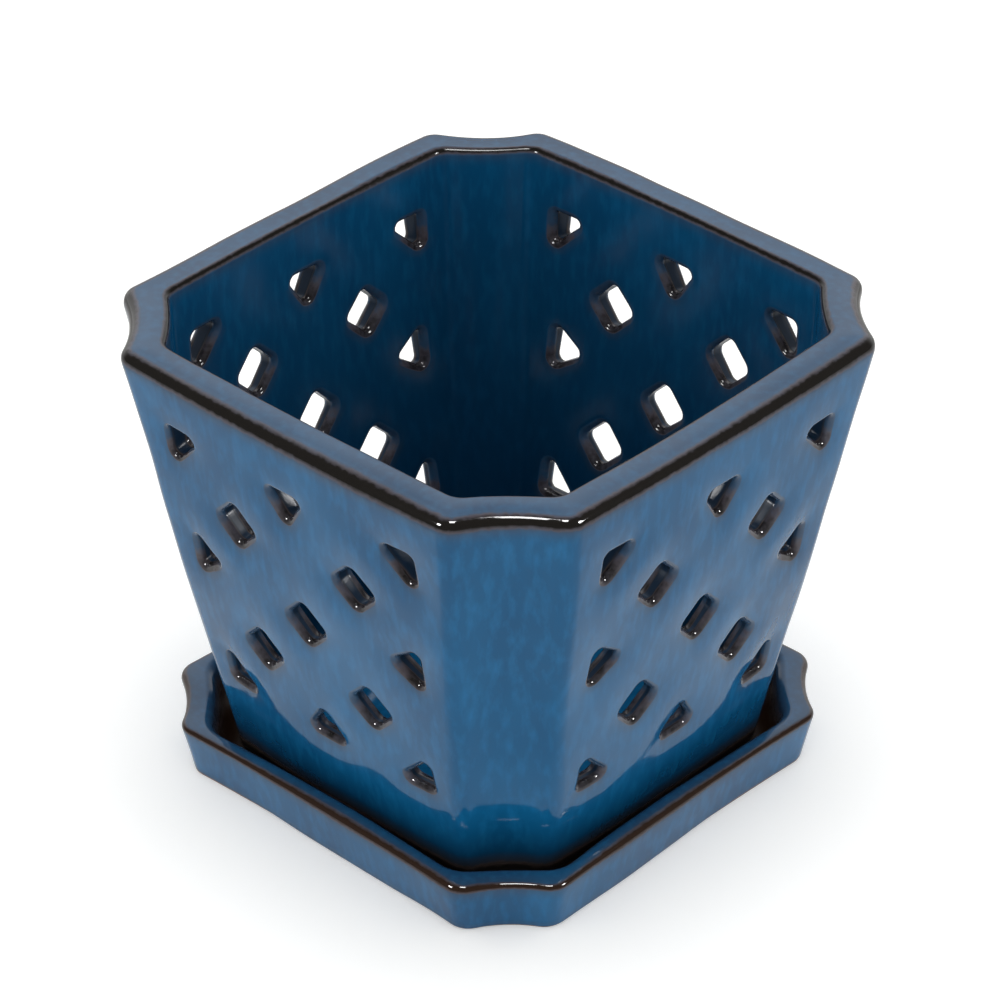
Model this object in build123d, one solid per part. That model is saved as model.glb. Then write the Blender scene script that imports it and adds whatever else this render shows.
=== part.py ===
from build123d import *
import os
from math import atan2, degrees, sqrt

os.makedirs("parts", exist_ok=True)

# A square, flared orchid pot with a lattice of slots in each side, standing in its saucer.
# Millimetres. The origin is the middle of the saucer's underside, on the table, with +Z up.

# Pot: overall sizes
POT_HEIGHT = 128.0          # from the foot to the rim
RIM_WIDTH = 157.0           # across the flats of the rim
BASE_WIDTH = 112.5          # across the flats at the foot
WALL = 6.0                  # thickness of the sides
POT_FLOOR = 7.0             # thickness of the bottom
RIM_LAND = 11.2             # width of the rim, thicker than the wall below it
SIDE_SWELL = 2.5            # how far each side bows out at half height

# Pot: corners, each cut back across the square and hollowed
RIM_CORNER = 21.5           # length that a corner takes off each side of the rim
BASE_CORNER = 14.5          # the same at the foot
RIM_INNER_CORNER = 17.3     # the same on the inside of the rim
CORNER_HOLLOW = 2.6         # depth of the hollow that runs down each corner
SHOULDER_ROUND = 6.5        # rounding where a side turns into its corner
INNER_HOLLOW = 0.8          # the hollow as it shows on the inside
INNER_SHOULDER_ROUND = 5.0  # rounding of the same turns on the inside
EDGE_BOW = 1.0              # how far the rim and the foot bow out along each side

# Pot: edges and underside
RIM_OUTER_ROUND = 4.0
RIM_INNER_ROUND = 2.0
FOOT_ROUND = 1.5
FLOOR_ROUND = 4.0           # where the inside of a wall meets the floor, in the pot and the saucer
FOOT_HEIGHT = 2.5           # depth of the recess inside the foot ring
FOOT_RING = 9.0             # width of the foot ring
FOOT_GAP = 16.0             # width of the four gaps that let water out of the ring
DRAIN_HOLE = 18.0           # diameter of the hole in the bottom

# Slots: a diamond lattice on a tapered panel, whole diamonds inside and cut ones along its border
PANEL_BELOW_RIM = 17.8      # from the rim down to the panel's top edge
PANEL_ABOVE_FOOT = 29.0     # from the foot up to the panel's bottom edge
PANEL_TOP_WIDTH = 84.5
PANEL_BOTTOM_WIDTH = 72.2
CENTRE_DROP = 1.8           # the centre diamond sits this far below the panel's middle
SIDE_RAISE = 2.0            # and the half diamonds of the side borders this far above it
DIAMOND = 13.8              # a whole diamond, corner to corner
HALF_BASE = 13.0            # flat side of a half diamond
HALF_DEPTH = 9.5            # from that side to its point
CORNER_LEG = 11.0           # two square sides of a quarter diamond
DIAMOND_ROUND = 2.0         # rounding of the corners of a whole diamond
CUT_ROUND = 1.5             # rounding of the corners of the cut ones

# Saucer: shaped around the pot's foot
SAUCER_HEIGHT = 15.8
SAUCER_FLOOR = 6.0          # thickness under the pot
SAUCER_LIP = 5.8            # thickness of the low wall, at its top
FOOT_CLEARANCE = 4.2        # from the pot's foot to the saucer's wall, at the floor
SAUCER_FLARE = 3.2          # how far the wall leans outward over its height
SAUCER_CORNER_LESS = 1.6    # the saucer's corners are cut back less than the foot's, by this
SAUCER_HOLLOW = 2.2
SAUCER_BOW = -1.2           # the saucer's sides draw in between its corners
LIP_ROUND = 2.2
SAUCER_RECESS = 1.5         # depth of the recess under the saucer
SAUCER_RING = 9.0           # width of the ring that it stands on

# Heights in the shared frame
foot_z = SAUCER_FLOOR
rim_z = foot_z + POT_HEIGHT
floor_z = foot_z + FOOT_HEIGHT + POT_FLOOR
CORNER_SHIFT = 2 - sqrt(2)  # change of a corner's cut for each millimetre that an outline grows


def outline(half, corner, z, hollow, shoulder, bow):
    """Square plan with hollowed corners and bowed sides, as a face at height z."""
    flat = half - corner
    dip = half - corner / 2 - hollow / sqrt(2)
    edges = []
    for turn in range(4):
        side = ThreePointArc((half, -flat), (half + bow, 0), (half, flat))
        hollow_edge = ThreePointArc((half, flat), (dip, dip), (flat, half))
        edges += [Rot(0, 0, 90 * turn) * side, Rot(0, 0, 90 * turn) * hollow_edge]
    plan = make_face(Curve() + edges)
    return Pos(0, 0, z) * fillet(plan.vertices(), shoulder)


def between(low, high, share):
    return low + (high - low) * share


def with_round_floor(hollow):
    """A hollow's own shape with its lowest edges rounded."""
    return fillet(hollow.faces().sort_by(Axis.Z)[0].edges(), FLOOR_ROUND)


def pot_half(z):
    """Half width of the pot's outside at height z, without the swell."""
    return between(BASE_WIDTH, RIM_WIDTH, (z - foot_z) / POT_HEIGHT) / 2


def pot_corner(z):
    return between(BASE_CORNER, RIM_CORNER, (z - foot_z) / POT_HEIGHT)


def pot_outside():
    """Flared body, straight at the rim and foot and swelling between them."""
    middle_z = (foot_z + rim_z) / 2
    sections = [
        outline(pot_half(z), pot_corner(z), z, CORNER_HOLLOW, SHOULDER_ROUND, bow)
        for z, bow in ((foot_z, EDGE_BOW), (middle_z, SIDE_SWELL), (rim_z, EDGE_BOW))
    ]
    return loft(sections)


def pot_inside():
    """The planting hollow: an even wall that thickens towards the rim."""
    middle_z = (floor_z + rim_z) / 2
    levels = [(floor_z, WALL, EDGE_BOW), (middle_z, WALL, SIDE_SWELL), (rim_z, RIM_LAND, EDGE_BOW)]
    sections = []
    for z, wall, bow in levels:
        corner = pot_corner(z) - RIM_CORNER + RIM_INNER_CORNER
        sections.append(outline(pot_half(z) - wall, corner, z, INNER_HOLLOW, INNER_SHOULDER_ROUND, bow))
    return with_round_floor(loft(sections))


def polygon_slot(corners, rounding):
    """One slot's outline from its corners, in the plane of a side."""
    return fillet(make_face(Polyline(*corners, close=True)).vertices(), rounding)


def panel_slots():
    """The lattice of one side, drawn with x along the side and y up the slope from the foot."""
    slope = sqrt(1 + ((RIM_WIDTH - BASE_WIDTH) / 2 / POT_HEIGHT) ** 2)
    top = (POT_HEIGHT - PANEL_BELOW_RIM) * slope
    bottom = PANEL_ABOVE_FOOT * slope
    half_diamond = DIAMOND / 2
    half_base = HALF_BASE / 2

    def panel_half(share):
        return between(PANEL_TOP_WIDTH, PANEL_BOTTOM_WIDTH, share) / 2

    slots = []
    # Half diamonds in the middle of the top and bottom borders, quarter diamonds at their ends
    for edge, into, share in ((top, -1, 0), (bottom, 1, 1)):
        slots.append([(-half_base, edge), (half_base, edge), (0, edge + into * HALF_DEPTH)])
        for side in (-1, 1):
            out = side * panel_half(share)
            slots.append([(out, edge), (out - side * CORNER_LEG, edge), (out, edge + into * CORNER_LEG)])
    # Half diamonds in the middle of the left and right borders
    middle = between(top, bottom, 1 / 2)
    for side in (-1, 1):
        out = side * panel_half(1 / 2)
        height = middle + SIDE_RAISE
        point = out - side * HALF_DEPTH
        slots.append([(out, height - half_base), (out, height + half_base), (point, height)])
    cut_slots = [polygon_slot(corners, CUT_ROUND) for corners in slots]
    # Whole diamonds: one in the centre and two in each row between the centre and a border
    centres = [(0, middle - CENTRE_DROP)]
    for share in (1 / 4, 3 / 4):
        across = panel_half(share) / 2
        centres += [(side * across, between(top, bottom, share)) for side in (-1, 1)]
    points = [(half_diamond, 0), (0, half_diamond), (-half_diamond, 0), (0, -half_diamond)]
    whole = polygon_slot(points, DIAMOND_ROUND)
    return cut_slots + [Pos(x, y) * whole for x, y in centres]


def slot_cutters():
    """Straight cutters through all four sides, square to each side's slope."""
    lean = degrees(atan2((RIM_WIDTH - BASE_WIDTH) / 2, POT_HEIGHT))
    side_plane = Plane((0, -BASE_WIDTH / 2, foot_z), x_dir=(1, 0, 0), z_dir=(0, -1, 0)).rotated((lean, 0, 0))
    reach = RIM_LAND + SIDE_SWELL
    panel = [extrude(side_plane * slot, reach, both=True) for slot in panel_slots()]
    return [Rot(0, 0, 90 * turn) * cutter for turn in range(4) for cutter in panel]


def foot_cutters():
    """The recess inside the foot ring, the four gaps in the ring and the drain hole."""
    ring_inside = outline(
        BASE_WIDTH / 2 - FOOT_RING, BASE_CORNER - CORNER_SHIFT * FOOT_RING, foot_z,
        INNER_HOLLOW, INNER_SHOULDER_ROUND, EDGE_BOW,
    )
    gap = Pos(0, 0, foot_z) * Box(
        BASE_WIDTH + 2 * SIDE_SWELL, FOOT_GAP, FOOT_HEIGHT, align=(Align.CENTER, Align.CENTER, Align.MIN)
    )
    drain = Pos(0, 0, foot_z) * Cylinder(
        DRAIN_HOLE / 2, FOOT_HEIGHT + POT_FLOOR, align=(Align.CENTER, Align.CENTER, Align.MIN)
    )
    return [extrude(ring_inside, FOOT_HEIGHT), gap, Rot(0, 0, 90) * gap, drain]


def make_pot():
    """One fired piece: the slotted, flared body with its rim, floor and foot."""
    outside = pot_outside()
    outside = fillet(outside.faces().sort_by(Axis.Z)[0].edges(), FOOT_ROUND)
    outside = fillet(outside.faces().sort_by(Axis.Z)[-1].edges(), RIM_OUTER_ROUND)
    body = outside - pot_inside()
    rim_face = body.faces().sort_by(Axis.Z)[-1]
    body = fillet(rim_face.inner_wires()[0].edges(), RIM_INNER_ROUND)
    return body - foot_cutters() - slot_cutters()


def make_saucer():
    """One fired piece: a low tray that follows the pot's plan, with a rounded lip."""
    inner_half = BASE_WIDTH / 2 + FOOT_CLEARANCE
    inner_corner = BASE_CORNER - SAUCER_CORNER_LESS

    def tray_outline(growth, z, hollow, shoulder):
        corner = inner_corner + CORNER_SHIFT * growth
        return outline(inner_half + growth, corner, z, hollow, shoulder, SAUCER_BOW)

    outside = loft([
        tray_outline(SAUCER_LIP, 0, SAUCER_HOLLOW, SHOULDER_ROUND),
        tray_outline(SAUCER_LIP + SAUCER_FLARE, SAUCER_HEIGHT, SAUCER_HOLLOW, SHOULDER_ROUND),
    ])
    inside = loft([
        tray_outline(0, SAUCER_FLOOR, INNER_HOLLOW, INNER_SHOULDER_ROUND),
        tray_outline(SAUCER_FLARE, SAUCER_HEIGHT, INNER_HOLLOW, INNER_SHOULDER_ROUND),
    ])
    tray = outside - with_round_floor(inside)
    tray = fillet(tray.faces().sort_by(Axis.Z)[-1].edges(), LIP_ROUND)
    recess = tray_outline(SAUCER_LIP - SAUCER_RING, 0, INNER_HOLLOW, INNER_SHOULDER_ROUND)
    return tray - extrude(recess, SAUCER_RECESS)


pieces = {"pot": make_pot(), "saucer": make_saucer()}
for name, piece in pieces.items():
    export_step(piece, f"parts/{name}.step")
    print(name, "solids", len(piece.solids()), "volume", round(piece.volume / 1000, 1), "cm3")
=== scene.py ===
# %% [markdown]
# # A slotted orchid pot in its saucer
# The object is two pieces of glazed stoneware: a square, flared pot whose sides are pierced by a lattice
# of diamond slots, and a low saucer of the same plan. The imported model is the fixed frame: it says where
# the pieces are and how they move, and this lesson dresses them.

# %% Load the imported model
import math
from collections import namedtuple

import bmesh
import bpy
from mathutils import Matrix, Vector, noise
from mathutils.geometry import delaunay_2d_cdt


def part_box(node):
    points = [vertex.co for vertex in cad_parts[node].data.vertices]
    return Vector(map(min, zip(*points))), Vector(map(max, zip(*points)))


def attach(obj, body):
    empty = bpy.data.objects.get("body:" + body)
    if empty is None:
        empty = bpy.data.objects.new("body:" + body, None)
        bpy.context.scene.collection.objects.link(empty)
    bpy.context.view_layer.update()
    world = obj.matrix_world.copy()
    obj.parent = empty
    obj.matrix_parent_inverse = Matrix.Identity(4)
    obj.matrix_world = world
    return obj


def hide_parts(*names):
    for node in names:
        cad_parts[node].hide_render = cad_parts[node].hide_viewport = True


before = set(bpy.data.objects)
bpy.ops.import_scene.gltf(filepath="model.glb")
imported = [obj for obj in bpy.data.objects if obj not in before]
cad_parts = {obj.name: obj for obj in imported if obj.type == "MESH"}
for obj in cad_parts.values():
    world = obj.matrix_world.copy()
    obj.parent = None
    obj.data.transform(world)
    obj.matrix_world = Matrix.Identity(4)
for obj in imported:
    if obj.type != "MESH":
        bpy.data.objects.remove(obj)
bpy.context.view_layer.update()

MM = 0.001
pot_low, pot_high = (Vector(corner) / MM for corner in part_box("pot"))
saucer_low, saucer_high = (Vector(corner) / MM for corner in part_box("saucer"))
print("pot from", round(pot_low.z, 2), "to", round(pot_high.z, 2), "mm high")
print("saucer from", round(saucer_low.z, 2), "to", round(saucer_high.z, 2), "mm high")

# %% [markdown]
# ## The camera
# The pot was pictured from a little over a metre away with a long lens, so its upright lines hardly
# converge. A camera can be aimed with a constraint, but here its three axes are written out from the
# viewing angles, because then the distance and the lens can each be read and changed by themselves.

# %% Camera at the picture's viewing angle
CAMERA_TURN = math.radians(43.1)       # round the pot, from looking along +Y
CAMERA_HEIGHT = math.radians(33.96)    # above the horizon
CAMERA_DISTANCE = 1184.9               # millimetres
TARGET_HEIGHT, TARGET_ASIDE = 76.6, 0.86
FOCAL_PIXELS = 4578.0                  # focal length in pixels of the square picture
PICTURE_PIXELS = 1000.0
SENSOR_WIDTH = 36.0
VIEW_DEPTH = 50.0                      # metres

level = math.cos(CAMERA_HEIGHT)
toward_camera = Vector((math.sin(CAMERA_TURN), -math.cos(CAMERA_TURN), 0))
back = toward_camera * level + Vector((0, 0, math.sin(CAMERA_HEIGHT)))
right = Vector((math.cos(CAMERA_TURN), math.sin(CAMERA_TURN), 0))
up = back.cross(right)
eye = Vector((0, 0, TARGET_HEIGHT)) + right * TARGET_ASIDE + back * CAMERA_DISTANCE

lens = bpy.data.cameras.new("studio_camera")
lens.sensor_width = SENSOR_WIDTH
lens.lens = FOCAL_PIXELS * SENSOR_WIDTH / PICTURE_PIXELS
lens.clip_end = VIEW_DEPTH
camera = bpy.data.objects.new("studio_camera", lens)
bpy.context.collection.objects.link(camera)
camera.matrix_world = Matrix.Translation(eye * MM) @ Matrix((right, up, back)).transposed().to_4x4()
bpy.context.scene.camera = camera
print("lens", round(lens.lens, 1), "mm, eye at", [round(v) for v in eye], "mm")

# %% [markdown]
# ## Arcs for the plan
# Seen from above, the pot is a square with its corners cut off, and each cut is a shallow hollow with a
# rounded shoulder at both ends. A smooth curve through a few points would lose those shoulders, so the
# plan is drawn with arcs, as on paper. This cell has what such a drawing needs: where two arcs touch, how
# the points of a side are spaced, and the arc of a side that bows out.

# %% Helpers for the plan
SIDE_STEPS = 16          # points from the middle of a side to its shoulder
GAP_STEPS = 3            # how many of them lie within half a drainage gap
SHOULDER_STEPS = 6
HOLLOW_STEPS = 5
FOOT_GAP = 16.0          # width of the gaps in the foot ring, in millimetres
SIDE_POINTS = 2 * SIDE_STEPS + 1
QUARTER_POINTS = SIDE_POINTS + 2 * (SHOULDER_STEPS + HOLLOW_STEPS) - 1
PLAN_POINTS = 4 * QUARTER_POINTS


def between(low, high, share):
    return low + (high - low) * share


def meeting_point(a, a_reach, b, b_reach, near):
    """The point at these distances from a and b, on the side of near."""
    line = b - a
    along = (a_reach ** 2 - b_reach ** 2 + line.length_squared) / (2 * line.length)
    aside = math.sqrt(a_reach ** 2 - along ** 2)
    foot = a + line.normalized() * along
    across = line.orthogonal().normalized() * aside
    return min(foot + across, foot - across, key=lambda point: (point - near).length)


def along_side(step, end):
    """Distance from the middle of a side to one of its points."""
    size = abs(step)
    if size <= GAP_STEPS:
        distance = FOOT_GAP / 2 * size / GAP_STEPS
    else:
        distance = between(FOOT_GAP / 2, end, (size - GAP_STEPS) / (SIDE_STEPS - GAP_STEPS))
    return math.copysign(distance, step)


def side_curve(half, corner, bow):
    """Centre and radius of the arc that one bowed side follows."""
    flat = half - corner
    radius = (flat ** 2 + bow ** 2) / (2 * bow)
    return Vector((half + bow - radius, 0)), radius


print(PLAN_POINTS, "points round the plan,", SIDE_POINTS, "of them on each side")

# %% [markdown]
# ## The plan
# One quarter is a long arc for the side, a small arc for the shoulder that touches it, and half of the
# hollow arc of the corner. The other half of the corner is its mirror image, and three turns make the
# rest. Every height of the pot uses the same number of points, so that one height can be joined to the
# next.

# %% Draw the plan
def corner_arcs(shoulder_centre, shoulder, hollow_centre, hollow_radius, side_end):
    """Points of the shoulder and of half the hollow, each with its outward direction."""
    diagonal = Vector((1, 1)).normalized()
    hollow_end = (hollow_centre - shoulder_centre).normalized()
    points = []
    for step in range(1, SHOULDER_STEPS + 1):
        out = side_end.slerp(hollow_end, step / SHOULDER_STEPS)
        points.append((shoulder_centre + out * shoulder, out))
    for step in range(1, HOLLOW_STEPS + 1):
        out = hollow_end.slerp(diagonal, step / HOLLOW_STEPS)
        points.append((hollow_centre - out * hollow_radius, out))
    return points


def plan(half, corner, bow, hollow, shoulder):
    """Points round the plan, each with its outward direction."""
    side_centre, side_radius = side_curve(half, corner, bow)
    hollow_radius = (corner ** 2 / 2 + hollow ** 2) / (2 * hollow)
    hollow_reach = (half - corner / 2) * math.sqrt(2) - hollow + hollow_radius
    hollow_centre = Vector((1, 1)).normalized() * hollow_reach
    near = Vector((half, half - corner))
    shoulder_centre = meeting_point(
        side_centre, side_radius - shoulder, hollow_centre, hollow_radius + shoulder, near
    )
    side_end = (shoulder_centre - side_centre) / (side_radius - shoulder)
    end = side_centre.y + side_end.y * side_radius
    quarter = []
    for step in range(-SIDE_STEPS, SIDE_STEPS + 1):
        turn = math.asin(along_side(step, end) / side_radius)
        out = Vector((math.cos(turn), math.sin(turn)))
        quarter.append((side_centre + out * side_radius, out))
    arcs = corner_arcs(shoulder_centre, shoulder, hollow_centre, hollow_radius, side_end)
    quarter += arcs + [(point.yx, out.yx) for point, out in reversed(arcs[:-1])]
    turns = [Matrix.Rotation(math.radians(90 * turn), 2) for turn in range(4)]
    return [(turn @ point, turn @ out) for turn in turns for point, out in quarter]


print("a plan is drawn from its half width, corner, bow, hollow and shoulder")

# %% [markdown]
# ## A mesh that remembers its glaze
# Glaze runs thin over every edge, gathers where it can't run on, and is wiped off the foot. A finish can
# look for edges by itself, but it then treats all of them alike. Here each point of the mesh notes, as it is
# made, how thin its glaze is, how far it pooled and whether the clay is bare. The same notes also carry
# painted shade: they paint the wall dark just above the foot, in the holes, towards the floor inside and in
# the saucer's tray. The notes become attributes that the glaze reads later.

# %% Collect points, faces and glaze notes
class Clay:
    """Points in millimetres and faces of one piece, with the notes for its glaze and its painted shade."""

    def __init__(self):
        self.points, self.faces = [], []
        self.thin, self.bare, self.pool = [], [], []

    def add(self, point, thin=0.0, bare=0.0, pool=0.0):
        self.points.append(point)
        self.thin.append(thin)
        self.bare.append(bare)
        self.pool.append(pool)
        return len(self.points) - 1

    def ring(self, plan_points, z, inset=0.0, thin=0.0, bare=0.0, pool=0.0, keep=None):
        """One height of the plan, moved inward by inset, as a dictionary of its kept columns."""
        columns = range(len(plan_points)) if keep is None else keep
        made = {}
        for column in columns:
            point, out = plan_points[column]
            flat = point - out * inset
            made[column] = self.add(Vector((flat.x, flat.y, z)), thin, bare, pool)
        return made

    def bridge(self, lower, upper, count=PLAN_POINTS):
        """Quads between two rings, wherever both have two neighbouring columns."""
        for column in range(count):
            following = (column + 1) % count
            if all(place in ring for ring in (lower, upper) for place in (column, following)):
                self.faces.append((lower[column], lower[following], upper[following], upper[column]))

    def stack(self, rings):
        for lower, upper in zip(rings, rings[1:]):
            self.bridge(lower, upper)

    def into_object(self, name):
        """A mesh object in metres, with the notes as attributes of its points."""
        mesh = bpy.data.meshes.new(name)
        mesh.from_pydata([point * MM for point in self.points], [], self.faces)
        for note in ("thin", "bare", "pool"):
            layer = mesh.attributes.new(note, "FLOAT", "POINT")
            layer.data.foreach_set("value", getattr(self, note))
        mesh.validate()
        mesh.update()
        piece = bpy.data.objects.new(name, mesh)
        bpy.context.collection.objects.link(piece)
        return piece


print("clay meshes note thin glaze, bare clay and pooled glaze at each point")

# %% [markdown]
# ## The pot's walls
# Both skins of the wall follow the same flare. The outside swells a little between the foot and the rim,
# as pressed clay does, and the wall thickens towards the rim. Each skin is a function that gives the
# sizes of the plan at a height, so the same numbers serve the corners, the sides and the slots.

# %% Sizes of the pot's two skins
RIM_WIDTH, BASE_WIDTH = 157.0, 112.5
WALL, RIM_LAND = 6.0, 11.2
POT_FLOOR, FOOT_HEIGHT = 7.0, 2.5
SIDE_SWELL, EDGE_BOW = 2.5, 1.0
RIM_CORNER, BASE_CORNER, RIM_INNER_CORNER = 21.5, 14.5, 17.3
CORNER_HOLLOW, SHOULDER_ROUND = 2.6, 6.5
INNER_HOLLOW, INNER_SHOULDER_ROUND = 0.8, 5.0
foot_z, rim_z = pot_low.z, pot_high.z
pot_height = rim_z - foot_z
floor_z = foot_z + FOOT_HEIGHT + POT_FLOOR


def swell(share):
    """Bow of a side, least at both ends of its height and most halfway."""
    return EDGE_BOW + (SIDE_SWELL - EDGE_BOW) * 4 * share * (1 - share)


def pot_half(z):
    return between(BASE_WIDTH, RIM_WIDTH, (z - foot_z) / pot_height) / 2


def outer_sizes(z):
    share = (z - foot_z) / pot_height
    return pot_half(z), between(BASE_CORNER, RIM_CORNER, share), swell(share)


def inner_sizes(z):
    share = (z - floor_z) / (rim_z - floor_z)
    wall = WALL + (RIM_LAND - WALL) * share * (2 * share - 1)
    corner = outer_sizes(z)[1] - RIM_CORNER + RIM_INNER_CORNER
    return pot_half(z) - wall, corner, swell(share)


def outer_plan(z):
    return plan(*outer_sizes(z), CORNER_HOLLOW, SHOULDER_ROUND)


def inner_plan(z):
    return plan(*inner_sizes(z), INNER_HOLLOW, INNER_SHOULDER_ROUND)


for name, sizes in (("outside", outer_sizes), ("inside", inner_sizes)):
    print(name, "half width", [round(sizes(z)[0], 1) for z in (floor_z, rim_z)], "at floor and rim")

# %% [markdown]
# ## The lattice of slots
# Each side carries whole diamonds inside a tapered panel and cut ones along its border: halves in the
# middle of each edge and quarters at its corners. They could be cut from the finished wall with booleans,
# but those leave no tidy rings of points for a rounded lip. So the slots are first drawn flat, in the
# plane of the leaning side.

# %% Corners of the slots of one side
PANEL_BELOW_RIM, PANEL_ABOVE_FOOT = 17.8, 29.0
PANEL_TOP_WIDTH, PANEL_BOTTOM_WIDTH = 84.5, 72.2
CENTRE_DROP, SIDE_RAISE = 1.8, 2.0
DIAMOND, HALF_BASE, HALF_DEPTH, CORNER_LEG = 13.8, 13.0, 9.5, 11.0
DIAMOND_ROUND, CUT_ROUND = 2.0, 1.5
lean = math.atan2((RIM_WIDTH - BASE_WIDTH) / 2, pot_height)
panel_top = (pot_height - PANEL_BELOW_RIM) / math.cos(lean)
panel_bottom = PANEL_ABOVE_FOOT / math.cos(lean)


def panel_half(share):
    """Half width of the panel, from its top edge at 0 to its bottom edge at 1."""
    return between(PANEL_TOP_WIDTH, PANEL_BOTTOM_WIDTH, share) / 2


def slot_corners():
    """Corners and rounding of each slot: x along the side, y up its slope from the foot."""
    cut = []
    for edge, into, share in ((panel_top, -1, 0), (panel_bottom, 1, 1)):
        cut.append([(-HALF_BASE / 2, edge), (HALF_BASE / 2, edge), (0, edge + into * HALF_DEPTH)])
        for side in (-1, 1):
            out = side * panel_half(share)
            cut.append([(out, edge), (out - side * CORNER_LEG, edge), (out, edge + into * CORNER_LEG)])
    middle = between(panel_top, panel_bottom, 1 / 2)
    for side in (-1, 1):
        out, height = side * panel_half(1 / 2), middle + SIDE_RAISE
        low, high = height - HALF_BASE / 2, height + HALF_BASE / 2
        cut.append([(out, low), (out, high), (out - side * HALF_DEPTH, height)])
    centres = [(0, middle - CENTRE_DROP)]
    for share in (1 / 4, 3 / 4):
        height = between(panel_top, panel_bottom, share)
        centres += [(side * panel_half(share) / 2, height) for side in (-1, 1)]
    points = [(DIAMOND / 2, 0), (0, DIAMOND / 2), (-DIAMOND / 2, 0), (0, -DIAMOND / 2)]
    whole = [[(x + px, y + py) for px, py in points] for x, y in centres]
    return [(corners, CUT_ROUND) for corners in cut] + [(corners, DIAMOND_ROUND) for corners in whole]


print(len(slot_corners()), "slots on each side, on a slope of", round(math.degrees(lean), 1), "degrees")

# %% [markdown]
# ## Outlines that can grow
# A slot's outline is kept as the centres of its rounded corners and the directions of its edges. Then it
# can be grown or shrunk without changing its number of points, which gives the rounded lip and the walls
# of the hole, and it can say how far any point of the side lies from it, which tells the glaze where a
# lip is near.

# %% Outlines of the slots
TURN_STEPS, EDGE_STEPS = 6, 5


class Slot:
    """A slot's outline as the centres of its rounded corners and the outward directions of its edges."""

    def __init__(self, corners, rounding):
        corners = [Vector(corner) for corner in corners]
        spin = sum(a.cross(b) for a, b in zip(corners, corners[1:] + corners[:1]))
        if spin < 0:
            corners.reverse()
        self.rounding = rounding
        edges = [(b - a).normalized() for a, b in zip(corners, corners[1:] + corners[:1])]
        self.outs = [Vector((edge.y, -edge.x)) for edge in edges]
        self.centres = []
        for corner, before, after in zip(corners, edges[-1:] + edges[:-1], edges):
            half_turn = before.angle(after) / 2
            inward = (after - before).normalized()
            self.centres.append(corner + inward * rounding / math.cos(half_turn))
        self.middle = sum(corners, Vector((0, 0))) / len(corners)

    def ring(self, growth):
        """Points round the outline, moved outward by growth."""
        reach = self.rounding + growth
        points = []
        for place, centre in enumerate(self.centres):
            before, after = self.outs[place - 1], self.outs[place]
            turns = [before.slerp(after, step / TURN_STEPS) for step in range(TURN_STEPS + 1)]
            points += [centre + out * reach for out in turns]
            start = centre + after * reach
            end = self.centres[(place + 1) % len(self.centres)] + after * reach
            points += [start.lerp(end, step / EDGE_STEPS) for step in range(1, EDGE_STEPS)]
        return points

    def offset(self, point):
        """Distance of a point from the outline, negative inside, and the direction in which it lies."""
        inside = True
        best = None
        for place, centre in enumerate(self.centres):
            line = self.centres[(place + 1) % len(self.centres)] - centre
            inside = inside and (point - centre).dot(self.outs[place]) < 0
            share = min(max((point - centre).dot(line) / line.length_squared, 0), 1)
            gap = point - (centre + line * share)
            if best is None or gap.length < best.length:
                best = gap
        distance = -best.length if inside else best.length
        return distance - self.rounding, best.normalized()


slots = [Slot(corners, rounding) for corners, rounding in slot_corners()]
print(sum(len(slot.ring(0)) for slot in slots), "points on the outlines of one side")

# %% [markdown]
# ## From the flat drawing to the swelling wall
# A point of the drawing is carried straight through the wall, square to the side's slope. How far it goes
# before it meets a skin depends on the swell there, and because the slope couples height and depth, a few
# rounds of correction find it. Near a slot the surface dips softly towards the hole, as clay does where a
# cutter went in.

# %% Place drawing points on the skins
DIP_REACH = 5.0
SETTLE_ROUNDS = 4


def plane_point(aside, upslope, depth):
    """A place on side 0, depth millimetres outside the plane of the drawing."""
    x = BASE_WIDTH / 2 + upslope * math.sin(lean) + depth * math.cos(lean)
    return Vector((x, aside, foot_z + upslope * math.cos(lean) - depth * math.sin(lean)))


def upslope_of(point):
    return (point.x - BASE_WIDTH / 2) * math.sin(lean) + (point.z - foot_z) * math.cos(lean)


def skin_depth(aside, upslope, sizes):
    """How far outside the plane of the drawing a skin lies."""
    depth = 0.0
    for _ in range(SETTLE_ROUNDS):
        z = plane_point(aside, upslope, depth).z
        half, corner, bow = sizes(z)
        centre, radius = side_curve(half, corner, bow)
        depth = (centre.x + math.sqrt(radius ** 2 - aside ** 2) - pot_half(z)) * math.cos(lean)
    return depth


def slot_dip(distance, depth):
    return depth * math.exp(-(max(distance, 0) / DIP_REACH) ** 2)


half_height = pot_height / 2
thickness = skin_depth(0, half_height, outer_sizes) - skin_depth(0, half_height, inner_sizes)
print("the wall is", round(thickness, 2), "mm thick about half way up")

# %% [markdown]
# ## One side as a net of triangles
# A grid can't follow thirteen holes, so the flat part of a side is filled by a Delaunay triangulation:
# the border points come from the corner columns, each slot has a ring that marks its hole and two wider
# rings that ease the spacing, and grid points fill the rest. The net is worked out once for each skin and
# used on all four sides.

# %% Triangulate a side around its slots
EASE_RINGS = (0.9, 2.2)
GRID_CLEARANCE = 3.4
HOLE_SHARE = 0.98        # triangles whose middle lies nearer than this share of the lip fill a hole
SAME_POINT = 1e-6


def nearest_slot(point):
    return min((slot.offset(point) for slot in slots), key=lambda found: found[0])


def inside_border(point, border):
    """Whether a point of the drawing lies inside a closed border."""
    crossings = 0
    for a, b in zip(border, border[1:] + border[:1]):
        if (a.y > point.y) != (b.y > point.y):
            crossings += point.x < between(a.x, b.x, (point.y - a.y) / (b.y - a.y))
    return crossings % 2 == 1


def closed_edges(first, count):
    return [(first + place, first + (place + 1) % count) for place in range(count)]


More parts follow.
